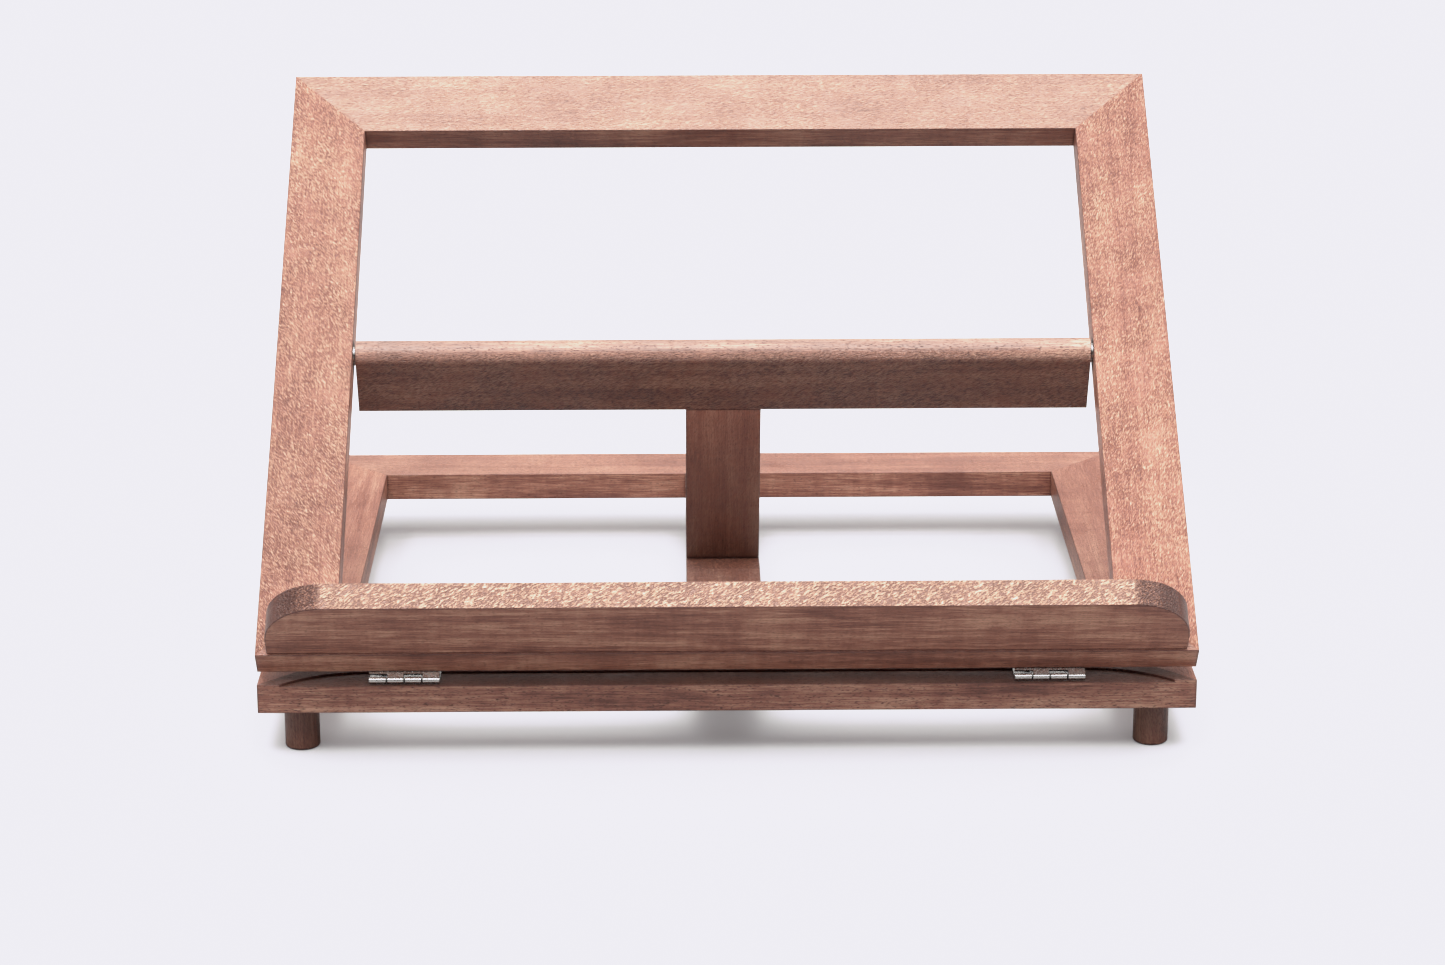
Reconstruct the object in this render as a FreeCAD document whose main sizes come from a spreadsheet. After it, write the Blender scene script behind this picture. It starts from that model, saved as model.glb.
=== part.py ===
import FreeCAD, Part
import os
import re
import Sketcher

# Folding wooden album stand, in millimetres. X runs to the right, Y to the back and Z up. The origin is on
# the surface it stands on, at the middle of its outline.
SIZES = {
    "base_width": 400,
    "base_depth": 330,
    "stock_width": 34,
    "stock_thick": 13,
    "edge_round": 0.4,
    "foot_width": 15,
    "foot_height": 21,
    "foot_round": 1.2,
    "tenon_width": 8,
    "tenon_length": 8,
    "dowel_width": 5,
    "dowel_length": 18,
    "dowel_spread": 9,
    "dowel_chamfer": 0.5,
    "glue_room": 0.05,
    "hole_room": 0.3,
    "tilt_angle": 37.3,
    "hinge_setback": 3,
    "hinge_offset": 137.5,
    "hinge_length": 30,
    "barrel_width": 3,
    "axis_offset": 1.7,
    "hinge_pin_width": 1.5,
    "pin_room": 0.05,
    "knuckle_gap": 0.6,
    "leaf_depth": 12,
    "leaf_thick": 1,
    "recess_deep": 1,
    "recess_reach": 15.5,
    "recess_half": 154.3,
    "recess_runout": 50,
    "frame_setoff": 3.3,
    "hinge_screw_spread": 9,
    "hinge_screw_reach": 7.5,
    "hinge_screw_length": 10,
    "hinge_screw_width": 2.4,
    "hinge_screw_head": 4.2,
    "ledge_length": 390,
    "ledge_lift": 1,
    "ledge_corner": 25,
    "ledge_screw_length": 35,
    "ledge_screw_width": 4,
    "ledge_screw_head": 8,
    "ledge_screw_spread": 90,
    "pivot_along": 163.5,
    "strut_lean": 23.7,
    "strut_length": 118.3,
    "strut_gap": 1.2,
    "pivot_pin_width": 4,
    "pivot_pin_bite": 14,
    "washer_width": 9,
    "washer_thick": 0.7,
    "notch_pitch": 31.4,
    "notch_length": 30.4,
    "notch_deep": 3.8,
    "notch_room": 0.3,
}
NOTCH_COUNT = 4
SCREW_SLOT_WIDTH = 0.2      # the cross in a screw's head, as shares of the head's width
SCREW_SLOT_REACH = 0.3
SCREW_SLOT_DEEP = 0.1
SMALLEST_CUT = 0.01         # cubic millimetres that a cut has to remove to count
NEAR = 0.1                  # how far an edge may be from the level it is looked for at
ALIGNED = 1e-6              # how far an edge's direction may be from an axis
ENDS = (-1, 1)
START = 1
END = 2
CENTRE = 3
AXES = -1

doc = FreeCAD.newDocument("album_stand")
sheet = doc.addObject("Spreadsheet::Sheet", "Dimensions")
for row, (alias, size) in enumerate(SIZES.items(), start=1):
    sheet.set(f"A{row}", alias)
    sheet.set(f"B{row}", str(size))
    sheet.setAlias(f"B{row}", alias)
doc.recompute()
nodes = []


def bound(formula):
    """The formula with each size's name pointing at its cell in the sheet."""
    return re.sub(r"[a-z]+_[a-z_]+", lambda word: f"Dimensions.{word[0]}", str(formula))


def value(formula):
    """The number that the formula gives now."""
    return float(sheet.evalExpression(bound(formula)))


def pose(x=0, y=0, z=0, axis=(0, 0, 1), turn=0):
    """Formula of a placement: a turn about an axis through the origin, then a shift."""
    shift = f"create(<<vector>>; {bound(x)}; {bound(y)}; {bound(z)})"
    rotation = f"create(<<rotation>>; create(<<vector>>; {axis[0]}; {axis[1]}; {axis[2]}); {bound(turn)})"
    return f"create(<<placement>>; {shift}; {rotation})"


def add_pose(name, formula):
    """Named placement that the pieces of one folding part are placed in."""
    doc.addObject("App::Placement", name).setExpression("Placement", formula)


def place(piece, frame, *where, **turned):
    """Put the piece somewhere in a named placement."""
    piece.setExpression("Placement", f"{frame}.Placement * {pose(*where, **turned)}")
    return piece


def add_body(label):
    """Empty body with its own label."""
    body = doc.addObject("PartDesign::Body", label)
    body.Label = label
    return body


def node(piece):
    """Mark a piece as one that is written to its own file."""
    nodes.append(piece)
    return piece


def group(label, pieces):
    """Node made of several separate solids of one kind."""
    bundle = doc.addObject("Part::Compound", label)
    bundle.Label = label
    bundle.Links = pieces
    return node(bundle)


def add_sketch(body, plane, *where, **turned):
    """Sketch on one of the body's own origin planes, moved and turned within that plane's frame."""
    sketch = body.newObject("Sketcher::SketchObject", f"{body.Name}_sketch")
    origin_plane = [item for item in body.Origin.OriginFeatures if item.Role == plane][0]
    sketch.AttachmentSupport = [(origin_plane, "")]
    sketch.MapMode = "FlatFace"
    sketch.setExpression("AttachmentOffset", pose(*where, **turned))
    return sketch


def bind(sketch, kind, formula, *place_of):
    """Add a dimension to the sketch and tie it to its formula."""
    number = sketch.addConstraint(Sketcher.Constraint(kind, *place_of, value(formula)))
    sketch.renameConstraint(number, f"size{number}")
    sketch.setExpression(f"Constraints.size{number}", bound(formula))


def draw_outline(sketch, corners):
    """Closed outline of straight lines through the corners, each a pair of formulas."""
    first = sketch.GeometryCount
    count = len(corners)
    points = [FreeCAD.Vector(value(x), value(y), 0) for x, y in corners]
    for index in range(count):
        sketch.addGeometry(Part.LineSegment(points[index], points[(index + 1) % count]))
    for index in range(count):
        following = first + (index + 1) % count
        sketch.addConstraint(Sketcher.Constraint("Coincident", first + index, END, following, START))
    for index, (x, y) in enumerate(corners):
        bind(sketch, "DistanceX", x, AXES, START, first + index, START)
        bind(sketch, "DistanceY", y, AXES, START, first + index, START)


def draw_rectangle(sketch, left, bottom, right, top):
    """Rectangle between two corners."""
    draw_outline(sketch, [(left, bottom), (right, bottom), (right, top), (left, top)])


def draw_circle(sketch, x, y, width):
    """Circle of the given width."""
    centre = FreeCAD.Vector(value(x), value(y), 0)
    number = sketch.addGeometry(Part.Circle(centre, FreeCAD.Vector(0, 0, 1), value(width) / 2))
    bind(sketch, "DistanceX", x, AXES, START, number, CENTRE)
    bind(sketch, "DistanceY", y, AXES, START, number, CENTRE)
    bind(sketch, "Diameter", width, number)


def extrude(body, kind, sketch, length, reverse=False, both=False):
    """Pad or pocket of a stated length, from the sketch or to both sides of it."""
    feature = body.newObject(f"PartDesign::{kind}", f"{body.Name}_{kind.lower()}")
    feature.Profile = sketch
    feature.SideType = "Symmetric" if both else "One side"
    feature.setExpression("Length", bound(length))
    feature.Reversed = reverse


def spin(body, kind, sketch):
    """Revolution or groove of the outline about the sketch's own vertical axis."""
    feature = body.newObject(f"PartDesign::{kind}", f"{body.Name}_{kind.lower()}")
    feature.Profile = sketch
    feature.ReferenceAxis = (sketch, ["V_Axis"])


def soften(body, kind, size, wanted):
    """Fillet or chamfer of the edges that the test picks."""
    doc.recompute()
    base = body.Tip
    edges = [f"Edge{number}" for number, edge in enumerate(base.Shape.Edges, start=1) if wanted(edge)]
    feature = body.newObject(f"PartDesign::{kind}", f"{body.Name}_{kind.lower()}")
    feature.Base = (base, edges)
    feature.setExpression("Radius" if kind == "Fillet" else "Size", bound(size))


def runs_along(axis):
    """Test for straight edges that lie along an axis."""
    def test(edge):
        if edge.Curve.TypeId != "Part::GeomLine":
            return False
        return abs(abs(edge.Curve.Direction.dot(FreeCAD.Vector(*axis))) - 1) < ALIGNED
    return test


def is_round(edge):
    """Test for circular edges."""
    return edge.Curve.TypeId == "Part::GeomCircle"


def drill_dowel_pair(body, plane, *where, reverse=False, **turned):
    """Two dowel holes side by side, drilled from the plane of the sketch."""
    sketch = add_sketch(body, plane, *where, **turned)
    for side in ENDS:
        draw_circle(sketch, f"{side} * dowel_spread", "0", "dowel_width + 2 * glue_room")
    extrude(body, "Pocket", sketch, "dowel_length / 2 + hole_room", reverse=reverse)


def add_rail(label, length):
    """Rail with eased edges and mitred, dowelled ends. X is along it, and its outer face is at Y = 0."""
    body = add_body(label)
    section = add_sketch(body, "YZ_Plane")
    draw_rectangle(section, "0", "0", "stock_width", "stock_thick")
    extrude(body, "Pad", section, length, both=True)
    soften(body, "Fillet", "edge_round", runs_along((1, 0, 0)))
    waste = add_sketch(body, "XY_Plane")
    for side in ENDS:
        outside = f"{side} * ({length} / 2 + edge_round)"
        inside = f"{side} * ({length} / 2 - stock_width - edge_round)"
        draw_outline(
            waste,
            [
                (outside, "0 - edge_round"),
                (inside, "stock_width + edge_round"),
                (outside, "stock_width + edge_round"),
            ],
        )
    extrude(body, "Pocket", waste, "4 * stock_thick", both=True)
    for side in ENDS:
        drill_dowel_pair(
            body,
            "XZ_Plane",
            f"{side} * ({length} - stock_width) / 2",
            "stock_thick / 2",
            "0 - stock_width / 2",
            axis=(0, 1, 0),
            turn=-45 * side,
            reverse=True,
        )
    return body


def add_base_rail(label, length):
    """Base rail, with half of a foot's tenon hole in the underside of each mitre."""
    body = add_rail(label, length)
    sketch = add_sketch(body, "XY_Plane")
    for side in ENDS:
        middle = f"{side} * ({length} - stock_width) / 2"
        draw_circle(sketch, middle, "stock_width / 2", "tenon_width + 2 * glue_room")
    extrude(body, "Pocket", sketch, "tenon_length + hole_room", reverse=True)
    return body


def drill_rack_dowels(body):
    """Holes in the middle of a rail's inner face for the rack bar's dowels."""
    drill_dowel_pair(body, "XZ_Plane", "0", "stock_thick / 2", "0 - stock_width", reverse=True)


def cut_hinge_recess(body):
    """Shallow recess for the hinge leaves, open at the front, that runs out in an arc at each end."""
    middle = add_sketch(body, "XY_Plane", "0", "0", "stock_thick")
    draw_rectangle(middle, "0 - recess_half", "0 - edge_round", "recess_half", "recess_reach")
    extrude(body, "Pocket", middle, "recess_deep")
    runout = add_sketch(body, "XY_Plane", "0", "0", "stock_thick")
    for side in ENDS:
        draw_circle(runout, f"{side} * recess_half", "recess_reach - recess_runout", "2 * recess_runout")
    extrude(body, "Pocket", runout, "recess_deep")


def drill_screw(body, x, y, z, way, kind, depth, countersunk):
    """Screw hole at a point, going down (way -1) or up (way 1), with or without room for the head."""
    sketch = add_sketch(body, "XZ_Plane", x, z, f"0 - ({y})")
    shank = f"{kind}_width / 2 + glue_room"
    foot = (shank, f"{way} * ({depth})")
    if countersunk:
        head = f"{kind}_head / 2 + glue_room"
        corners = [("0", "0"), (head, "0"), (shank, f"{way} * ({kind}_head - {kind}_width) / 2"), foot]
    else:
        corners = [("0", "0"), (shank, "0"), foot]
    draw_outline(sketch, corners + [("0", f"{way} * ({depth})")])
    spin(body, "Groove", sketch)


def hinge_screw_places():
    """Where the hinge screws are along a rail."""
    return [
        f"{side} * hinge_offset + {end} * hinge_screw_spread"
        for side in ENDS
        for end in ENDS
    ]


def add_screw(label, kind):
    """Countersunk cross-head screw that points down, with its head's face at Z = 0."""
    body = add_body(label)
    profile = add_sketch(body, "XZ_Plane")
    point = f"{kind}_width"
    draw_outline(
        profile,
        [
            ("0", "0"),
            (f"{kind}_head / 2", "0"),
            (f"{kind}_width / 2", f"({kind}_width - {kind}_head) / 2"),
            (f"{kind}_width / 2", f"{point} - {kind}_length"),
            ("0", f"0 - {kind}_length"),
        ],
    )
    spin(body, "Revolution", profile)
    arm = f"{SCREW_SLOT_REACH} * {kind}_head"
    thick = f"{SCREW_SLOT_WIDTH} * {kind}_head / 2"
    cross = add_sketch(body, "XY_Plane")
    draw_outline(
        cross,
        [
            (thick, thick),
            (arm, thick),
            (arm, f"0 - {thick}"),
            (thick, f"0 - {thick}"),
            (thick, f"0 - {arm}"),
            (f"0 - {thick}", f"0 - {arm}"),
            (f"0 - {thick}", f"0 - {thick}"),
            (f"0 - {arm}", f"0 - {thick}"),
            (f"0 - {arm}", thick),
            (f"0 - {thick}", thick),
            (f"0 - {thick}", arm),
            (thick, arm),
        ],
    )
    extrude(body, "Pocket", cross, f"{SCREW_SLOT_DEEP} * {kind}_head")
    return body


def add_rod(label, width, length, chamfer=None):
    """Round rod along X, centred on the origin."""
    body = add_body(label)
    sketch = add_sketch(body, "YZ_Plane")
    draw_circle(sketch, "0", "0", width)
    extrude(body, "Pad", sketch, length, both=True)
    if chamfer:
        soften(body, "Chamfer", chamfer, is_round)
    return body


def add_dowel(label):
    """Glued dowel along X, with chamfered ends."""
    return add_rod(label, "dowel_width", "dowel_length", "dowel_chamfer")


def add_corner_dowels(label, frame, depth, y, z):
    """The dowels across the four mitres of a frame of the given depth, whose lowest corner is at (y, z)."""
    dowels = []
    for side in ENDS:
        for end in ENDS:
            for step in ENDS:
                dowel = add_dowel(f"{label}_{len(dowels)}")
                x = f"{side} * ((base_width - stock_width) / 2 + {step} * dowel_spread / sqrt(2))"
                along = f"{end} * (({depth} - stock_width) / 2 + {step} * dowel_spread / sqrt(2))"
                place(
                    dowel,
                    frame,
                    x,
                    f"{y} + {depth} / 2 + {along}",
                    f"{z} + stock_thick / 2",
                    turn=-45 * side * end,
                )
                dowels.append(dowel)
    return group(label, dowels)


def add_foot(label):
    """Turned foot with the tenon that glues into a corner of the base."""
    body = add_body(label)
    profile = add_sketch(body, "XZ_Plane")
    draw_outline(
        profile,
        [
            ("0", "0 - foot_height"),
            ("foot_width / 2", "0 - foot_height"),
            ("foot_width / 2", "0"),
            ("tenon_width / 2", "0"),
            ("tenon_width / 2", "tenon_length"),
            ("0", "tenon_length"),
        ],
    )
    spin(body, "Revolution", profile)
    lowest = -value("foot_height")
    soften(body, "Fillet", "foot_round", lambda edge: is_round(edge) and edge.Curve.Center.z < lowest + NEAR)
    return body


def add_rack_bar(label):
    """Bar from front to back in the middle of the base, with saw-tooth notches that the strut stands in."""
    body = add_body(label)
    length = "(base_depth - 2 * stock_width)"
    section = add_sketch(body, "XZ_Plane")
    draw_rectangle(section, "0 - stock_width / 2", "0", "stock_width / 2", "stock_thick")
    extrude(body, "Pad", section, length, reverse=True)
    soften(body, "Fillet", "edge_round", runs_along((0, 1, 0)))
    for number in range(NOTCH_COUNT):
        wall = f"{first_notch_wall()} - stock_width + {number} * notch_pitch"
        notch = add_sketch(body, "YZ_Plane")
        draw_outline(
            notch,
            [
                (f"{wall} - notch_length", "stock_thick"),
                (wall, "stock_thick - notch_deep"),
                (wall, "stock_thick + notch_deep"),
                (f"{wall} - notch_length", "stock_thick + notch_deep"),
            ],
        )
        extrude(body, "Pocket", notch, "2 * stock_width", both=True)
    drill_dowel_pair(body, "XZ_Plane", "0", "stock_thick / 2", "0")
    drill_dowel_pair(body, "XZ_Plane", "0", "stock_thick / 2", f"0 - {length}", reverse=True)
    return body


def first_notch_wall():
    """Distance of the first notch's wall behind the base's front face, so that the foot just clears it."""
    along = "(frame_setoff + pivot_along)"
    rise = "(axis_offset + stock_thick / 2)"
    pivot_y = f"(hinge_setback + {along} * cos(tilt_angle) - {rise} * sin(tilt_angle))"
    pivot_z = f"(axis_offset - recess_deep + {along} * sin(tilt_angle) + {rise} * cos(tilt_angle))"
    end_y = f"({pivot_y} + (strut_length + notch_room) * sin(strut_lean))"
    end_z = f"({pivot_z} - (strut_length + notch_room) * cos(strut_lean))"
    return f"({end_y} - {end_z} / tan(strut_lean))"


def add_hinge_leaf(label):
    """Leaf of a butt hinge with its first and third knuckle. The pin's axis is X, and the leaf lies below it."""
    body = add_body(label)
    plate = add_sketch(body, "YZ_Plane")
    draw_rectangle(plate, "0", "0 - axis_offset", "leaf_depth", "leaf_thick - axis_offset")
    extrude(body, "Pad", plate, "hinge_length", both=True)
    barrel = add_sketch(body, "YZ_Plane")
    draw_circle(barrel, "0", "0", "barrel_width")
    extrude(body, "Pad", barrel, "hinge_length", both=True)
    knuckle = "hinge_length / 4"
    half_gap = "knuckle_gap / 2"
    clearances = add_sketch(body, "XY_Plane")
    reach = "(barrel_width / 2 + knuckle_gap)"
    draw_rectangle(clearances, f"0 - {knuckle} - {half_gap}", f"0 - {reach}", half_gap, reach)
    draw_rectangle(clearances, f"{knuckle} - {half_gap}", f"0 - {reach}", f"2 * {knuckle} + {half_gap}", reach)
    extrude(body, "Pocket", clearances, "2 * barrel_width", both=True)
    bore = add_sketch(body, "YZ_Plane")
    draw_circle(bore, "0", "0", "hinge_pin_width + 2 * pin_room")
    extrude(body, "Pocket", bore, "2 * hinge_length", both=True)
    for side in ENDS:
        x = f"{side} * hinge_screw_spread"
        top = "leaf_thick - axis_offset"
        drill_screw(body, x, "hinge_screw_reach", top, -1, "hinge_screw", "2 * leaf_thick", True)
    return body


def add_hinge(name, side):
    """One hinge: two equal leaves, the pin, and the screws into the base and into the frame."""
    centre = f"{side} * hinge_offset"
    place(node(add_hinge_leaf(f"{name}_base_leaf")), "hinge_pose", centre)
    place(node(add_hinge_leaf(f"{name}_frame_leaf")), "top_pose", centre, axis=(0, 1, 0), turn=180)
    place(node(add_rod(f"{name}_pin", "hinge_pin_width", "hinge_length")), "hinge_pose", centre)
    face = "(axis_offset - leaf_thick)"
    for leaf, frame, height, turn in (("base", "hinge_pose", f"0 - {face}", 0), ("frame", "top_pose", face, 180)):
        label = f"{name}_{leaf}_screws"
        screws = []
        for end in ENDS:
            screw = add_screw(f"{label}_{len(screws)}", "hinge_screw")
            x = f"{centre} + {end} * hinge_screw_spread"
            place(screw, frame, x, "hinge_screw_reach", height, axis=(0, 1, 0), turn=turn)
            screws.append(screw)
        group(label, screws)


def add_base():
    """Mitred base frame on four feet, with the rack bar between its front and rear rails."""
    front = add_base_rail("base_front_rail", "base_width")
    drill_rack_dowels(front)
    cut_hinge_recess(front)
    for x in hinge_screw_places():
        drill_screw(
            front, x, "hinge_setback + hinge_screw_reach", "stock_thick", -1, "hinge_screw",
            "hinge_screw_length + hole_room", False,
        )
    rear = add_base_rail("base_rear_rail", "base_width")
    drill_rack_dowels(rear)
    left = add_base_rail("base_left_rail", "base_depth")
    right = add_base_rail("base_right_rail", "base_depth")
    place(node(front), "base_pose")
    place(node(rear), "base_pose", "0", "base_depth", turn=180)
    place(node(left), "base_pose", "0 - base_width / 2", "base_depth / 2", turn=-90)
    place(node(right), "base_pose", "base_width / 2", "base_depth / 2", turn=90)
    place(node(add_rack_bar("rack_bar")), "base_pose", "0", "stock_width")
    for column, side in (("left", -1), ("right", 1)):
        for line, y in (("front", "stock_width / 2"), ("rear", "base_depth - stock_width / 2")):
            foot = node(add_foot(f"foot_{line}_{column}"))
            place(foot, "base_pose", f"{side} * (base_width - stock_width) / 2", y)
    add_corner_dowels("base_corner_dowels", "base_pose", "base_depth", "0", "0")
    dowels = []
    for y in ("stock_width", "base_depth - stock_width"):
        for side in ENDS:
            dowel = add_dowel(f"rack_dowels_{len(dowels)}")
            place(dowel, "base_pose", f"{side} * dowel_spread", y, "stock_thick / 2", turn=90)
            dowels.append(dowel)
    group("rack_dowels", dowels)


def add_top_frame():
    """Mitred frame that tilts on the hinges, with the ledge that the album stands on."""
    height = "(base_depth - hinge_setback - frame_setoff)"
    underside = "axis_offset"
    bottom = add_rail("frame_bottom_rail", "base_width")
    for x in hinge_screw_places():
        drill_screw(
            bottom, x, "hinge_screw_reach - frame_setoff", "0", 1, "hinge_screw",
            "hinge_screw_length + hole_room", False,
        )
    screw_y = "(ledge_lift + stock_thick / 2)"
    screw_places = [f"{step} * ledge_screw_spread" for step in (-1, 0, 1)]
    for x in screw_places:
        drill_screw(bottom, x, screw_y, "0", 1, "ledge_screw", "2 * stock_thick", True)
    place(node(bottom), "top_pose", "0", "frame_setoff", underside)
    top = add_rail("frame_top_rail", "base_width")
    place(node(top), "top_pose", "0", f"frame_setoff + {height}", underside, turn=180)
    for column, side in (("left", -1), ("right", 1)):
        stile = add_rail(f"frame_{column}_stile", height)
        along = f"{side} * (pivot_along - {height} / 2)"
        bore = add_sketch(stile, "XZ_Plane", along, "stock_thick / 2", "0 - stock_width")
        draw_circle(bore, "0", "0", "pivot_pin_width + 2 * pin_room")
        extrude(stile, "Pocket", bore, "pivot_pin_bite + hole_room", reverse=True)
        x = f"{side} * base_width / 2"
        place(node(stile), "top_pose", x, f"frame_setoff + {height} / 2", underside, turn=90 * side)
    add_corner_dowels("frame_corner_dowels", "top_pose", height, "frame_setoff", underside)

    ledge = add_body("ledge")
    face = add_sketch(ledge, "XZ_Plane")
    draw_rectangle(face, "0 - ledge_length / 2", "0", "ledge_length / 2", "stock_width")
    extrude(ledge, "Pad", face, "stock_thick", reverse=True)
    outer = value("stock_width")
    across = runs_along((0, 1, 0))
    soften(ledge, "Fillet", "ledge_corner", lambda edge: across(edge) and edge.CenterOfMass.z > outer - NEAR)
    soften(ledge, "Fillet", "edge_round", lambda edge: not across(edge) and edge.CenterOfMass.z > NEAR)
    for x in screw_places:
        drill_screw(
            ledge, x, "stock_thick / 2", "0", 1, "ledge_screw",
            "ledge_screw_length - stock_thick + hole_room", False,
        )
    place(node(ledge), "top_pose", "0", "frame_setoff + ledge_lift", f"{underside} + stock_thick")
    screws = []
    for x in screw_places:
        screw = add_screw(f"ledge_screws_{len(screws)}", "ledge_screw")
        y = f"frame_setoff + {screw_y}"
        place(screw, "top_pose", x, y, underside, axis=(0, 1, 0), turn=180)
        screws.append(screw)
    group("ledge_screws", screws)
    for column, side in (("left", -1), ("right", 1)):
        washer = add_body(f"{column}_pivot_washer")
        ring = add_sketch(washer, "YZ_Plane")
        draw_circle(ring, "0", "0", "washer_width")
        draw_circle(ring, "0", "0", "pivot_pin_width + 2 * pin_room")
        extrude(washer, "Pad", ring, "washer_thick", both=True)
        x = f"{side} * (base_width / 2 - stock_width - washer_thick / 2)"
        place(node(washer), "top_pose", x, "frame_setoff + pivot_along", f"{underside} + stock_thick / 2")


def add_strut():
    """Strut that swings between the stiles: a crossbar on two pins, and a leg with its foot in a notch."""
    length = "(base_width - 2 * stock_width - 2 * strut_gap)"
    crossbar = add_body("strut_crossbar")
    section = add_sketch(crossbar, "YZ_Plane")
    half = "stock_thick / 2"
    shoulder = "(stock_thick / 2 - stock_width)"
    draw_rectangle(section, f"0 - {half}", shoulder, half, "0")
    extrude(crossbar, "Pad", section, length, both=True)
    soften(
        crossbar, "Fillet", "edge_round",
        lambda edge: runs_along((1, 0, 0))(edge) and edge.CenterOfMass.z < value(shoulder) + NEAR,
    )
    nose = add_sketch(crossbar, "YZ_Plane")
    draw_circle(nose, "0", "0", "stock_thick")
    extrude(crossbar, "Pad", nose, length, both=True)
    for side in ENDS:
        bore = add_sketch(crossbar, "YZ_Plane", "0", "0", f"{side} * {length} / 2")
        draw_circle(bore, "0", "0", "pivot_pin_width + glue_room")
        extrude(crossbar, "Pocket", bore, "pivot_pin_bite + hole_room", reverse=side < 0)
    drill_dowel_pair(crossbar, "XY_Plane", "0", "0", shoulder, reverse=True)
    place(node(crossbar), "strut_pose")

    leg = add_body("strut_leg")
    plan = add_sketch(leg, "XY_Plane", "0", "0", "0 - strut_length")
    draw_rectangle(plan, "0 - stock_width / 2", f"0 - {half}", "stock_width / 2", half)
    extrude(leg, "Pad", plan, f"strut_length + {shoulder}")
    soften(leg, "Fillet", "edge_round", runs_along((0, 0, 1)))
    drill_dowel_pair(leg, "XY_Plane", "0", "0", shoulder)
    place(node(leg), "strut_pose")

    dowels = []
    for side in ENDS:
        dowel = add_dowel(f"strut_dowels_{len(dowels)}")
        place(dowel, "strut_pose", f"{side} * dowel_spread", "0", shoulder, axis=(0, 1, 0), turn=90)
        dowels.append(dowel)
    group("strut_dowels", dowels)
    for column, side in (("left", -1), ("right", 1)):
        pin = node(add_rod(f"{column}_pivot_pin", "pivot_pin_width", "2 * pivot_pin_bite + strut_gap"))
        place(pin, "strut_pose", f"{side} * ({length} + strut_gap) / 2")


def add_poses():
    """Placements of the base, the hinges' axis, the tilted frame and the strut."""
    overhang = (
        "((axis_offset + stock_thick + stock_width) * sin(tilt_angle)"
        " - (frame_setoff + ledge_lift) * cos(tilt_angle) - hinge_setback)"
    )
    axis_height = "stock_thick - recess_deep + axis_offset"
    pivot_height = "axis_offset + stock_thick / 2"
    swing = "strut_lean - tilt_angle"
    add_pose("base_pose", pose("0", f"({overhang} - base_depth) / 2", "foot_height"))
    add_pose("hinge_pose", f"base_pose.Placement * {pose('0', 'hinge_setback', axis_height)}")
    add_pose("top_pose", f"hinge_pose.Placement * {pose(axis=(1, 0, 0), turn='tilt_angle')}")
    pivot = pose("0", "frame_setoff + pivot_along", pivot_height, axis=(1, 0, 0), turn=swing)
    add_pose("strut_pose", f"top_pose.Placement * {pivot}")


def check_features():
    """Stop if a feature failed, or if a cut took nothing away."""
    for item in doc.Objects:
        if "Invalid" in item.State or "Error" in item.State:
            raise RuntimeError(f"{item.Name} failed: {item.State}")
        if item.TypeId in ("PartDesign::Pocket", "PartDesign::Groove"):
            removed = item.BaseFeature.Shape.Volume - item.Shape.Volume
            if removed < SMALLEST_CUT:
                raise RuntimeError(f"{item.Name} cuts nothing")
    for piece in nodes:
        if piece.Shape.isNull() or not piece.Shape.isValid():
            raise RuntimeError(f"{piece.Label} has no valid shape")


add_poses()
add_base()
add_top_frame()
add_hinge("left_hinge", -1)
add_hinge("right_hinge", 1)
add_strut()
doc.recompute()
check_features()

os.makedirs("parts", exist_ok=True)
for piece in nodes:
    piece.Shape.exportStep(f"parts/{piece.Label}.step")
    print(piece.Label, len(piece.Shape.Solids), "solids", round(piece.Shape.Volume), "mm3")
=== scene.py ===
"""Folding photo album stand in stained beech: finishes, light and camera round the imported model."""

import math

import bpy
from mathutils import Matrix, Vector

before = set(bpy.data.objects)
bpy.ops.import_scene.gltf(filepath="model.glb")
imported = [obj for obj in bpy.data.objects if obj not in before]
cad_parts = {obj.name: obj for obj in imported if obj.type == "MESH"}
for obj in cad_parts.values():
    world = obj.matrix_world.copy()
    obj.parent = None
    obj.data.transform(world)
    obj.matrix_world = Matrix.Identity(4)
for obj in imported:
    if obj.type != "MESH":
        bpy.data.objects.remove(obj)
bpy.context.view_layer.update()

MILLIMETRES = 1000.0        # millimetres in a metre

# How the three groups of wood stand at rest
FRAME_TILT = math.radians(37.3)     # the album frame, up from the base
STRUT_LEAN = math.radians(23.7)     # the strut's leg, back from upright

RIGHT = Vector((1.0, 0.0, 0.0))
BACK = Vector((0.0, 1.0, 0.0))
UP = Vector((0.0, 0.0, 1.0))
UP_THE_FRAME = Vector((0.0, math.cos(FRAME_TILT), math.sin(FRAME_TILT)))
DOWN_THE_LEG = Vector((0.0, math.sin(STRUT_LEAN), -math.cos(STRUT_LEAN)))

# Stained beech, as linear colours
STAIN_DARK = (0.190, 0.064, 0.045, 1.0)
STAIN_MIDDLE = (0.425, 0.168, 0.114, 1.0)
STAIN_LIGHT = (0.740, 0.400, 0.275, 1.0)
# The pale colour of the painted sheen on faces turned to the overhead light
PAINTED_SHEEN = (0.860, 0.600, 0.470, 1.0)
# Dark of the pores, also used for the painted shade in the joints
PORE_STAIN_AND_SHADE = (0.070, 0.024, 0.016, 1.0)
# Dark of the edges: partly darker stain, partly painted shade where the light doesn't reach
EDGE_STAIN_AND_SHADE = (0.110, 0.040, 0.030, 1.0)
STAIN_END = (0.125, 0.041, 0.028, 1.0)
STAIN_RAY = (0.520, 0.230, 0.150, 1.0)

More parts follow.
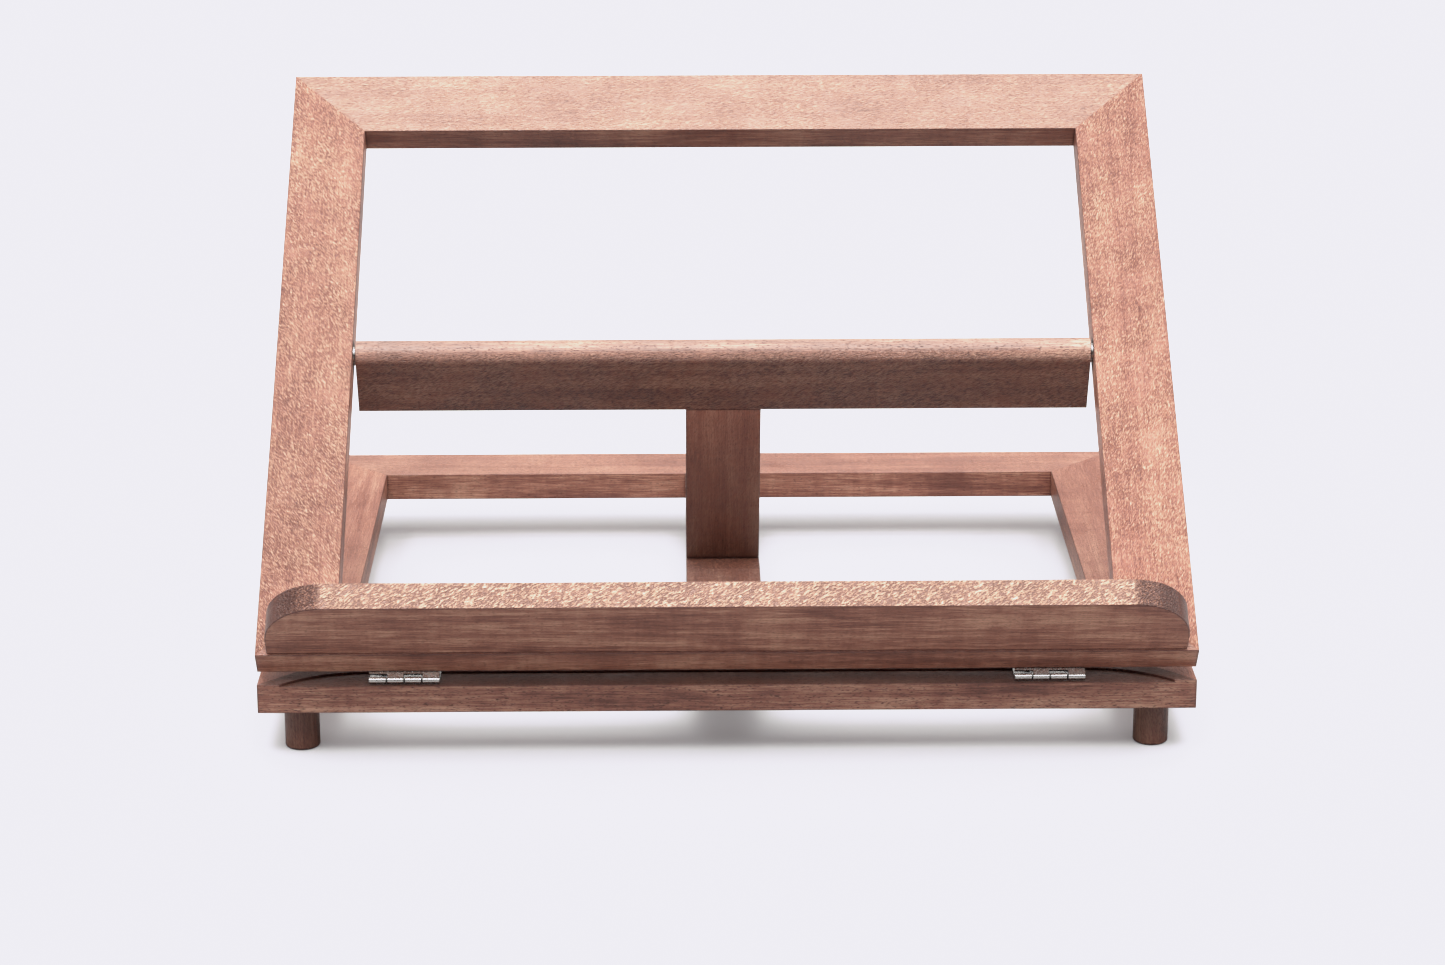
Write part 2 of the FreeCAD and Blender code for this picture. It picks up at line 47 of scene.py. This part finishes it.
# How large the features of stained beech are along, across and into the wood, in millimetres
BAND_SIZE = (160.0, 6.0, 6.0)
FIBRE_SIZE = (14.0, 0.52, 0.52)
MOTTLE_SIZE = (40.0, 24.0, 24.0)
WAVE_SIZE = (5.5, 30.0, 30.0)
PORE_SIZE = (1.8, 0.32, 0.32)
RAY_SIZE = (0.9, 0.9, 3.4)          # the rays' cut ends, in the end grain
PATCH_SIZE = (14.0, 14.0, 14.0)     # where the ray flecks come and go

# How strongly they show
FIBRE_SHARE = 0.80
MOTTLE_SHARE = 0.45
FLECK_SHARE = 0.52
RAY_SHARE = 0.80
END_SHARE = 0.90
FACE_CONTRAST = 1.15        # the streaks on a board's broad faces
SIDE_CONTRAST = 2.4         # and on its narrow sides, where the fibres show more
PAINTED_LIGHT_FADE = 0.60          # how far a face has to turn to take its full painted light
# How far the painted light pales a face towards the painted sheen colour
PAINTED_SHEEN_SHARE = 0.45

# Its dark edges, partly painted shade, and the painted shade in its joints: how wide they are in metres, and
# how dark
WOOD_EDGE_WIDTH = 0.0012
WOOD_JOINT_REACH = 0.0026
EDGE_SHARE = 0.85
JOINT_SHADE_SHARE = 0.95
UPPER_EDGE_SHARE = 0.15     # what is left of the edges' darkness, partly painted shade, where they look up into the light

# Its relief and gloss
WOOD_RELIEF = 0.00040       # metres
FLECK_RELIEF = 1.3          # how high the flecks stand, where the fibres stand one half
WOOD_ROUGHNESS = 0.42

# Bare beech of the dowels, as linear colours
BARE_DARK = (0.360, 0.210, 0.110, 1.0)
BARE_LIGHT = (0.660, 0.450, 0.270, 1.0)
BARE_FIBRE_SIZE = (8.0, 0.4, 0.4)   # millimetres
BARE_PORE_SIZE = (2.0, 0.3, 0.3)
BARE_RELIEF = 0.0001                # metres


def add(tree, kind, inputs=None, **settings):
    """Adds a shader node, sets its properties, and fills its inputs with values or links."""
    made = tree.nodes.new("ShaderNode" + kind)
    for key, setting in settings.items():
        setattr(made, key, setting)
    for key, source in (inputs or {}).items():
        if isinstance(source, bpy.types.NodeSocket):
            tree.links.new(source, made.inputs[key])
        else:
            made.inputs[key].default_value = source
    return made


def maths(tree, operation, first, second=0.0):
    """The result of one sum on two numbers or sockets."""
    return add(tree, "Math", {0: first, 1: second}, operation=operation).outputs[0]


def weighted(tree, parts, start=0.0):
    """The start value plus each socket's distance from one half, times its weight."""
    total = start
    for socket, weight in parts:
        centred = maths(tree, "SUBTRACT", socket, 0.5)
        total = maths(tree, "ADD", maths(tree, "MULTIPLY", centred, weight), total)
    return total


def rescale(tree, value, low, high, to_low=0.0, to_high=1.0):
    """A smooth step of the value between low and high."""
    made = add(tree, "MapRange", {0: value, 1: low, 2: high, 3: to_low, 4: to_high},
               interpolation_type="SMOOTHSTEP")
    return made.outputs[0]


def mix(tree, factor, first, second, blend_type="MIX"):
    """One colour laid over another."""
    made = add(tree, "Mix", {0: factor, 6: first, 7: second}, data_type="RGBA", blend_type=blend_type)
    return made.outputs[2]


def stretched(tree, place, size):
    """The place divided by a feature's size along each direction."""
    shares = tuple(1.0 / each for each in size)
    return add(tree, "VectorMath", {0: place, 1: shares}, operation="MULTIPLY").outputs[0]


def noise(tree, place, size, detail=2.0, roughness=0.5, distortion=0.0):
    """Noise whose features have the given size in millimetres along, across and into the wood."""
    return add(tree, "TexNoise", {"Vector": stretched(tree, place, size), "Scale": 1.0, "Detail": detail,
                                  "Roughness": roughness, "Distortion": distortion}).outputs[0]


def new_material(name):
    """An empty material, with its tree and its principled shader."""
    material = bpy.data.materials.new(name)
    material.use_nodes = True
    tree = material.node_tree
    tree.nodes.clear()
    shader = add(tree, "BsdfPrincipled")
    add(tree, "OutputMaterial", {"Surface": shader.outputs[0]})
    return material, tree, shader


def grain_space(tree, grain, across, shift):
    """Place on the object in millimetres: along the grain, across the board, and into its face."""
    turn = Matrix((grain, across, grain.cross(across)))
    on_object = add(tree, "TexCoord").outputs["Object"]
    return add(tree, "Mapping", {"Vector": on_object, "Rotation": turn.to_euler("XYZ"),
                                 "Scale": (MILLIMETRES,) * 3, "Location": shift}).outputs[0]


def turned_in_face(tree, place, angle):
    """The place turned about the direction into the face."""
    return add(tree, "VectorRotate", {"Vector": place, "Angle": math.radians(angle)},
               rotation_type="Z_AXIS").outputs[0]


def dot(tree, first, second):
    """The dot product of two vectors or sockets."""
    return add(tree, "VectorMath", {0: first, 1: second}, operation="DOT_PRODUCT").outputs["Value"]


def facing(tree, direction, low, high):
    """How much the surface looks one way: nought below low and one above high."""
    normal = add(tree, "TexCoord").outputs["Normal"]
    return rescale(tree, dot(tree, normal, direction), low, high)


def facing_either(tree, direction, low, high):
    """How much the surface looks along a direction, forwards or backwards."""
    normal = add(tree, "TexCoord").outputs["Normal"]
    return rescale(tree, maths(tree, "ABSOLUTE", dot(tree, normal, direction)), low, high)


def corner_share(tree, grain, across):
    """One on a board's rounded corners, and nought on its flat faces."""
    normal = add(tree, "TexCoord").outputs["Normal"]
    squareness = 0.0
    for direction in (grain, across, grain.cross(across)):
        along = maths(tree, "ABSOLUTE", dot(tree, normal, direction))
        squareness = maths(tree, "MAXIMUM", along, squareness)
    return rescale(tree, squareness, 0.99, 0.90)


def edge_share(tree, radius):
    """One on a sharp edge, falling to nought at the radius from it."""
    rounded = add(tree, "Bevel", {"Radius": radius}, samples=4).outputs[0]
    flat = add(tree, "NewGeometry").outputs["Normal"]
    return rescale(tree, dot(tree, rounded, flat), 0.995, 0.80)


def joint_share(tree, reach):
    """One deep in the corner between two pieces, and nought out in the open."""
    open_share = add(tree, "AmbientOcclusion", {"Distance": reach}, samples=4).outputs["AO"]
    return rescale(tree, open_share, 0.80, 0.35)


def fade_along(tree, node, grain, tones):
    """A tone that goes evenly from the first to the second along a board."""
    along = [vertex.co.dot(grain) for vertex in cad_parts[node].data.vertices]
    on_object = add(tree, "TexCoord").outputs["Object"]
    here = dot(tree, on_object, grain)
    return add(tree, "MapRange", {0: here, 1: min(along), 2: max(along), 3: tones[0], 4: tones[1]}).outputs[0]


def wood_pattern(tree, place, on_face, fleck, fleck_angle, fleck_size):
    """The noises that the stain and the relief share, each about one half on average, by name."""
    length, width = fleck_size
    slanted = turned_in_face(tree, place, fleck_angle)
    strokes = noise(tree, slanted, (length, width, width), detail=2.0, roughness=0.6)
    sharp_strokes = rescale(tree, strokes, 0.34, 0.66, -0.5, 0.5)
    patchy = noise(tree, place, PATCH_SIZE, detail=2.0)
    stroke_weight = maths(tree, "MULTIPLY", maths(tree, "MULTIPLY", on_face, patchy), 2.0 * fleck)
    return {
        "band": noise(tree, place, BAND_SIZE, detail=3.0, distortion=0.6),
        "fibre": noise(tree, place, FIBRE_SIZE, detail=4.0, roughness=0.68),
        "mottle": noise(tree, place, MOTTLE_SIZE, detail=3.0),
        "waves": noise(tree, place, WAVE_SIZE, detail=2.0, distortion=0.8),
        "pores": rescale(tree, noise(tree, place, PORE_SIZE, detail=1.0), 0.56, 0.70),
        "flecks": maths(tree, "MULTIPLY", sharp_strokes, stroke_weight),
    }


def stain(tree, pattern, on_face, bands, curl, streaks):
    """The stain from dark through middle to light, streaked along the grain and flecked."""
    along_grain = weighted(tree, ((pattern["band"], bands), (pattern["fibre"], FIBRE_SHARE),
                                  (pattern["mottle"], MOTTLE_SHARE), (pattern["waves"], curl)))
    contrast = rescale(tree, on_face, 0.0, 1.0, SIDE_CONTRAST * streaks, FACE_CONTRAST * streaks)
    level = maths(tree, "ADD", maths(tree, "MULTIPLY", along_grain, contrast), 0.5)
    flecked = maths(tree, "ADD", level, maths(tree, "MULTIPLY", pattern["flecks"], FLECK_SHARE))
    ramp = add(tree, "ValToRGB", {0: flecked})
    ramp.color_ramp.elements[0].position = 0.10
    ramp.color_ramp.elements[0].color = STAIN_DARK
    ramp.color_ramp.elements[1].position = 0.92
    ramp.color_ramp.elements[1].color = STAIN_LIGHT
    ramp.color_ramp.elements.new(0.5).color = STAIN_MIDDLE
    return ramp.outputs[0]


def with_end_grain(tree, colour, place, grain):
    """The colour, with dark end grain and its pale rays where the board was cut across."""
    on_end = facing_either(tree, grain, 0.01, 0.12)
    rays = rescale(tree, noise(tree, place, RAY_SIZE, detail=1.0), 0.52, 0.62)
    end_grain = mix(tree, maths(tree, "MULTIPLY", rays, RAY_SHARE), STAIN_END, STAIN_RAY)
    return mix(tree, maths(tree, "MULTIPLY", on_end, END_SHARE), colour, end_grain)


def with_dark_edges(tree, colour, grain, across, cornered):
    """The colour, darker on corners and sharp edges that don't look up, partly darker stain and partly
    painted shade, and with painted shade in the joints.
    """
    # Edges that look sideways and edges that don't look up at the overhead light get painted shade.
    not_up = rescale(tree, facing(tree, UP, 0.30, 0.65), 0.0, 1.0, 1.0, UPPER_EDGE_SHARE)
    dark_side = maths(tree, "MAXIMUM", not_up, facing_either(tree, RIGHT, 0.25, 0.55))
    corners = maths(tree, "MULTIPLY", corner_share(tree, grain, across), dark_side)
    on_corners = mix(tree, maths(tree, "MULTIPLY", corners, cornered), colour, EDGE_STAIN_AND_SHADE)
    edges = maths(tree, "MULTIPLY", edge_share(tree, WOOD_EDGE_WIDTH), dark_side)
    on_edges = mix(tree, maths(tree, "MULTIPLY", edges, EDGE_SHARE), on_corners, EDGE_STAIN_AND_SHADE)
    # Painted shade in the joints, where the pieces shade each other.
    joint_shade = maths(tree, "MULTIPLY", joint_share(tree, WOOD_JOINT_REACH), JOINT_SHADE_SHARE)
    return mix(tree, joint_shade, on_edges, PORE_STAIN_AND_SHADE)


def stained_beech(node, grain, across, shift, tones=(1.0, 1.0),
                  painted_light=0.0, painted_light_way=UP, painted_light_from=-0.10,
                  fleck=0.5, fleck_angle=25.0, fleck_size=(2.4, 0.5), curl=0.15,
                  bands=0.45, streaks=1.0, pored=0.5, cornered=0.75):
    """Copper-brown stained beech: growth bands, fibres, pores, ray flecks, dark end grain, dark edges that
    are partly painted shade, painted shade in the joints, and painted light and sheen on faces turned to the
    light.

    tones is how light the board is at each end. The next three arguments paint light and sheen on a face
    turned one way, as the overhead light falls on it, and paint shade there when the share is negative: how
    much, which way, and where the turn starts. The rest weighs the ray flecks, curl, bands, streaks, pores
    and dark corners, which are partly painted shade.
    """
    material, tree, shader = new_material("stained_" + node)
    place = grain_space(tree, grain, across, shift)
    on_face = facing_either(tree, grain.cross(across), 0.55, 0.90)
    pattern = wood_pattern(tree, place, on_face, fleck, fleck_angle, fleck_size)

    stained = stain(tree, pattern, on_face, bands, curl, streaks)
    # Faces turned one way are painted lighter, with a paler painted sheen, where the overhead light falls on
    # them; a negative share paints shade on them instead.
    turned = facing(tree, painted_light_way, painted_light_from, painted_light_from + PAINTED_LIGHT_FADE)
    painted_light_share = maths(tree, "MULTIPLY", turned, painted_light)
    tone = maths(tree, "ADD", fade_along(tree, node, grain, tones), painted_light_share)
    toned = mix(tree, 1.0, stained, tone, blend_type="MULTIPLY")
    sheened = mix(tree, maths(tree, "MULTIPLY", painted_light_share, PAINTED_SHEEN_SHARE), toned, PAINTED_SHEEN)
    speckled = mix(tree, maths(tree, "MULTIPLY", pattern["pores"], pored), sheened, PORE_STAIN_AND_SHADE)
    ended = with_end_grain(tree, speckled, place, grain)
    colour = with_dark_edges(tree, ended, grain, across, cornered)

    fine_relief = weighted(tree, ((pattern["fibre"], 0.5), (pattern["waves"], curl * 0.4),
                                  (pattern["pores"], -0.30)), start=0.5)
    relief = maths(tree, "ADD", fine_relief, maths(tree, "MULTIPLY", pattern["flecks"], FLECK_RELIEF))
    bump = add(tree, "Bump", {"Strength": 0.8, "Distance": WOOD_RELIEF, "Height": relief})
    rough = weighted(tree, ((pattern["fibre"], 0.25), (pattern["mottle"], 0.12), (pattern["pores"], 0.15)),
                     start=WOOD_ROUGHNESS)
    for key, socket in (("Base Color", colour), ("Roughness", rough), ("Normal", bump.outputs[0]),
                        ("Coat Normal", bump.outputs[0])):
        tree.links.new(socket, shader.inputs[key])
    shader.inputs["Specular IOR Level"].default_value = 0.5
    shader.inputs["IOR"].default_value = 1.5
    shader.inputs["Coat Weight"].default_value = 0.35
    shader.inputs["Coat Roughness"].default_value = 0.32
    return material


def bare_beech(name, grain):
    """Pale unstained beech with fine fibres and dark flecks."""
    material, tree, shader = new_material(name)
    across = RIGHT if abs(grain.x) < 0.5 else BACK
    place = grain_space(tree, grain, across, (0.0, 0.0, 0.0))
    fibre = noise(tree, place, BARE_FIBRE_SIZE, detail=3.0)
    pore = rescale(tree, noise(tree, place, BARE_PORE_SIZE), 0.60, 0.72)
    paled = mix(tree, fibre, BARE_DARK, BARE_LIGHT)
    flecked = mix(tree, maths(tree, "MULTIPLY", pore, 0.5), paled, BARE_DARK)
    bump = add(tree, "Bump", {"Strength": 0.4, "Distance": BARE_RELIEF, "Height": fibre})
    rough = rescale(tree, fibre, 0.2, 0.8, 0.55, 0.72)
    for key, socket in (("Base Color", flecked), ("Roughness", rough), ("Normal", bump.outputs[0])):
        tree.links.new(socket, shader.inputs[key])
    return material


def plated_steel(name, colour, dull, smoothest, roughest):
    """Bright plated steel: fine rubbing marks, small dull patches, darker sharp edges and painted shade in
    its corners.
    """
    material, tree, shader = new_material(name)
    place = grain_space(tree, RIGHT, BACK, (0.0, 0.0, 0.0))
    patches = noise(tree, place, DULL_PATCH_SIZE, detail=3.0)
    rubbing = noise(tree, place, RUBBING_SIZE, detail=2.0)
    tarnish = rescale(tree, patches, 0.50, 0.75, 0.0, TARNISH_SHARE)
    dulled = mix(tree, tarnish, colour, dull)
    edges = maths(tree, "MULTIPLY", edge_share(tree, METAL_EDGE_WIDTH), METAL_EDGE_AND_SHADE_SHARE)
    edged = mix(tree, edges, dulled, METAL_EDGE_DARK_AND_SHADE)
    # Painted shade in the corners between pieces.
    joint_shade = maths(tree, "MULTIPLY", joint_share(tree, METAL_JOINT_REACH), METAL_EDGE_AND_SHADE_SHARE)
    cornered = mix(tree, joint_shade, edged, METAL_EDGE_DARK_AND_SHADE)
    rough = rescale(tree, patches, 0.3, 0.7, smoothest, roughest)
    bump = add(tree, "Bump", {"Strength": 0.12, "Distance": METAL_RELIEF, "Height": rubbing})
    for key, socket in (("Base Color", cornered), ("Roughness", rough), ("Normal", bump.outputs[0])):
        tree.links.new(socket, shader.inputs[key])
    shader.inputs["Metallic"].default_value = 1.0
    return material


def dress(node, material):
    """Gives a node carried over from the CAD its one material."""
    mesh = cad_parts[node].data
    mesh.materials.clear()
    mesh.materials.append(material)
    for face in mesh.polygons:
        face.material_index = 0


# Wood ----------------------------------------------------------------------------------------------------

BOARDS = {
    # node: grain, across, tone at each end of the board, and what differs from plain straight-grained wood,
    # painted light included
    # The front rail's top is painted darker: painted shade under the frame and ledge.
    "base_front_rail": (RIGHT, BACK, (0.74, 0.74), dict(painted_light=-0.24, fleck=0.5, fleck_angle=8.0, pored=0.9)),
    "base_rear_rail": (RIGHT, BACK, (1.00, 1.10), dict(painted_light=0.12, fleck=0.5, fleck_angle=5.0, bands=0.5)),
    "base_left_rail": (BACK, RIGHT, (1.15, 1.20), dict(fleck=0.3, fleck_angle=-10.0)),
    "base_right_rail": (BACK, RIGHT, (1.12, 1.12), dict(fleck=0.3, fleck_angle=10.0)),
    "rack_bar": (BACK, RIGHT, (0.60, 0.60), dict(fleck=0.8, fleck_angle=60.0, curl=0.4)),
    "frame_bottom_rail": (RIGHT, UP_THE_FRAME, (0.95, 0.98), dict(fleck=0.3, fleck_angle=3.0)),
    "frame_top_rail": (RIGHT, UP_THE_FRAME, (0.64, 0.72), dict(painted_light=0.40, fleck=0.55, fleck_angle=-14.0,
                                                               fleck_size=(2.8, 0.6))),
    "frame_left_stile": (UP_THE_FRAME, RIGHT, (1.00, 1.42), dict(fleck=1.2, fleck_angle=34.0,
                                                                 fleck_size=(1.9, 0.34))),
    "frame_right_stile": (UP_THE_FRAME, RIGHT, (1.34, 1.38), dict(fleck=1.0, fleck_angle=-20.0, curl=0.25,
                                                                 fleck_size=(1.9, 0.36))),
    "ledge": (RIGHT, UP_THE_FRAME, (0.98, 1.06), dict(painted_light=0.52, fleck=3.2, fleck_angle=-36.0,
                                                      fleck_size=(1.9, 0.65))),
    # The crossbar's rounded nose, turned up the leg, is painted lighter: painted light.
    "strut_crossbar": (RIGHT, DOWN_THE_LEG, (0.51, 0.51), dict(painted_light=0.44, painted_light_way=-DOWN_THE_LEG,
                                                               painted_light_from=-0.05, fleck=1.0, bands=0.7,
                                                               pored=0.9, cornered=0.0)),
    # The leg is painted darker towards its foot: painted shade.
    "strut_leg": (DOWN_THE_LEG, RIGHT, (0.84, 0.36), dict(fleck=0.2)),
}
FEET = ("foot_front_left", "foot_rear_left", "foot_front_right", "foot_rear_right")
for foot in FEET:
    BOARDS[foot] = (UP, RIGHT, (0.50, 0.50), dict(fleck=0.3, fleck_angle=15.0, cornered=0.0))

SHIFT_STEP = Vector((311.0, 47.0, 83.0))    # how far along the tree one board is cut from the next, mm
for order, (node, (grain, across, tones, rest)) in enumerate(BOARDS.items()):
    dress(node, stained_beech(node, grain, across, SHIFT_STEP * (order + 1), tones, **rest))

for node, grain in (("base_corner_dowels", RIGHT), ("rack_dowels", BACK),
                    ("frame_corner_dowels", RIGHT), ("strut_dowels", DOWN_THE_LEG)):
    dress(node, bare_beech("bare_" + node, grain))

# Metal ---------------------------------------------------------------------------------------------------

NICKEL = (0.780, 0.760, 0.730, 1.0)
NICKEL_DULL = (0.420, 0.400, 0.380, 1.0)
ZINC = (0.600, 0.600, 0.610, 1.0)
ZINC_DULL = (0.300, 0.300, 0.310, 1.0)
STEEL = (0.110, 0.108, 0.105, 1.0)
STEEL_DULL = (0.050, 0.048, 0.046, 1.0)
# Darker sharp edges of the metal, and its painted shade in the corners between pieces
METAL_EDGE_DARK_AND_SHADE = (0.030, 0.028, 0.027, 1.0)

DULL_PATCH_SIZE = (1.6, 1.6, 1.6)       # millimetres
RUBBING_SIZE = (2.4, 0.10, 0.10)
TARNISH_SHARE = 0.35
METAL_EDGE_WIDTH = 0.0005               # metres
METAL_JOINT_REACH = 0.0012
METAL_RELIEF = 0.00003
# How dark the metal's edges and its painted shade in the corners are
METAL_EDGE_AND_SHADE_SHARE = 0.85

nickel = plated_steel("nickel_plate", NICKEL, NICKEL_DULL, smoothest=0.20, roughest=0.34)
zinc = plated_steel("zinc_plate", ZINC, ZINC_DULL, smoothest=0.28, roughest=0.45)
oiled = plated_steel("oiled_steel", STEEL, STEEL_DULL, smoothest=0.35, roughest=0.55)
for side in ("left", "right"):
    for part in ("hinge_base_leaf", "hinge_frame_leaf", "pivot_pin", "pivot_washer"):
        dress(f"{side}_{part}", nickel)
    dress(f"{side}_hinge_pin", oiled)
    for part in ("hinge_base_leaf", "hinge_frame_leaf"):
        # The bright barrel would otherwise throw blotches of light on the rail above it.
        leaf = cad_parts[f"{side}_{part}"]
        leaf.visible_diffuse = False
        leaf.visible_glossy = False
    for part in ("hinge_base_screws", "hinge_frame_screws"):
        dress(f"{side}_{part}", zinc)
dress("ledge_screws", zinc)

# Floor and light -----------------------------------------------------------------------------------------

FLOOR_SIZE = 12.0                           # metres
FLOOR_PATCH_SIZE = (240.0, 240.0, 240.0)    # millimetres
FLOOR_COLOUR = (0.880, 0.880, 0.890, 1.0)
FLOOR_SPOT = (0.850, 0.850, 0.860, 1.0)
FLOOR_BOUNCE = (0.300, 0.290, 0.290, 1.0)   # what the floor throws back at the object
FLOOR_GLOW = 0.12                           # light through the floor from below, which pales its shadows
FLOOR_GLOW_COLOUR = (0.96, 0.96, 1.0, 1.0)

SKY_STRENGTH = 1.30
SKY_LOW = 0.25              # heights on the sky's half sphere between which it goes from dark to bright
SKY_HIGH = 0.70
SKY_COLOUR = (1.0, 1.0, 1.0, 1.0)

WHITES = (0.858, 0.850, 0.898)      # where red, green and blue level off in the picture
BRIGHTEST = 4.0                     # the brightest light that the levelling takes in


def pale_floor():
    """A wide matte floor, with the faint unevenness of coated card."""
    material, tree, shader = new_material("pale_floor")
    place = grain_space(tree, RIGHT, BACK, (0.0, 0.0, 0.0))
    patches = noise(tree, place, FLOOR_PATCH_SIZE, detail=2.0)
    uneven = mix(tree, patches, FLOOR_COLOUR, FLOOR_SPOT)
    seen = add(tree, "LightPath").outputs["Is Camera Ray"]
    tree.links.new(mix(tree, seen, FLOOR_BOUNCE, uneven), shader.inputs["Base Color"])
    shader.inputs["Emission Color"].default_value = FLOOR_GLOW_COLOUR
    tree.links.new(maths(tree, "MULTIPLY", seen, FLOOR_GLOW), shader.inputs["Emission Strength"])
    shader.inputs["Roughness"].default_value = 0.75
    shader.inputs["Specular IOR Level"].default_value = 0.1

    half = FLOOR_SIZE / 2
    mesh = bpy.data.meshes.new("floor")
    corners = [(-half, -half, 0), (half, -half, 0), (half, half, 0), (-half, half, 0)]
    mesh.from_pydata(corners, [], [(0, 1, 2, 3)])
    mesh.materials.append(material)
    floor = bpy.data.objects.new("floor", mesh)
    bpy.context.scene.collection.objects.link(floor)


def add_sun(name, strength, spread, ahead, aside):
    """A wide soft light from above: how far it leans towards the camera and to the right, in degrees."""
    light = bpy.data.lights.new(name, "SUN")
    light.energy = strength
    light.angle = math.radians(spread)
    lamp = bpy.data.objects.new(name, light)
    lamp.rotation_euler = (math.radians(ahead), math.radians(aside), 0.0)
    bpy.context.scene.collection.objects.link(lamp)


def add_sky():
    """Even light from overhead that fades out towards the horizon, as from a light tent's top."""
    world = bpy.data.worlds.new("studio")
    world.use_nodes = True
    tree = world.node_tree
    direction = add(tree, "TexCoord").outputs["Generated"]
    height = add(tree, "SeparateXYZ", {0: direction}).outputs["Z"]
    strength = rescale(tree, height, SKY_LOW, SKY_HIGH, 0.0, SKY_STRENGTH)
    tree.links.new(strength, tree.nodes["Background"].inputs["Strength"])
    tree.nodes["Background"].inputs["Color"].default_value = SKY_COLOUR
    bpy.context.scene.world = world


def level_off_whites():
    """Makes bright tones level off gently below white, as a camera does with a brightly lit floor."""
    view = bpy.context.scene.view_settings
    view.view_transform = "Standard"
    view.use_curve_mapping = True
    mapping = view.curve_mapping
    mapping.clip_max_x = BRIGHTEST
    for channel, white in enumerate(WHITES):
        curve = mapping.curves[channel]
        curve.points[1].location = (BRIGHTEST, white)
        bend = ((0.30, 0.30), (0.60, 0.58), (0.90, white - 0.06), (1.30, white - 0.005), (2.0, white))
        for light, shown in bend:
            curve.points.new(light, shown)
    mapping.update()


pale_floor()
add_sun("overhead_softbox", 2.9, 40.0, ahead=20.0, aside=-2.0)
add_sun("rear_softbox", 0.9, 50.0, ahead=-38.0, aside=0.0)
add_sky()
level_off_whites()

# Camera --------------------------------------------------------------------------------------------------

CAMERA_PLACE = Vector((-0.02003, -1.66011, 0.60188))
LENS = 94.207                       # mm
SENSOR = 36.0                       # mm
LOOK_DOWN = math.radians(17.6267)
LOOK_RIGHT = math.radians(0.6849)
ROLL = math.radians(-0.0829)

level_ahead = Vector((math.sin(LOOK_RIGHT), math.cos(LOOK_RIGHT), 0.0))
view_ahead = level_ahead * math.cos(LOOK_DOWN) - UP * math.sin(LOOK_DOWN)
level_right = Vector((math.cos(LOOK_RIGHT), -math.sin(LOOK_RIGHT), 0.0))
level_up = level_right.cross(view_ahead)
view_right = level_right * math.cos(ROLL) + level_up * math.sin(ROLL)
view_up = level_up * math.cos(ROLL) - level_right * math.sin(ROLL)
camera = bpy.data.objects.new("camera", bpy.data.cameras.new("camera"))
camera.data.sensor_width = SENSOR
camera.data.lens = LENS
camera.rotation_mode = "QUATERNION"
camera.rotation_quaternion = Matrix((view_right, view_up, -view_ahead)).transposed().to_quaternion()
camera.location = CAMERA_PLACE
bpy.context.scene.collection.objects.link(camera)
bpy.context.scene.camera = camera
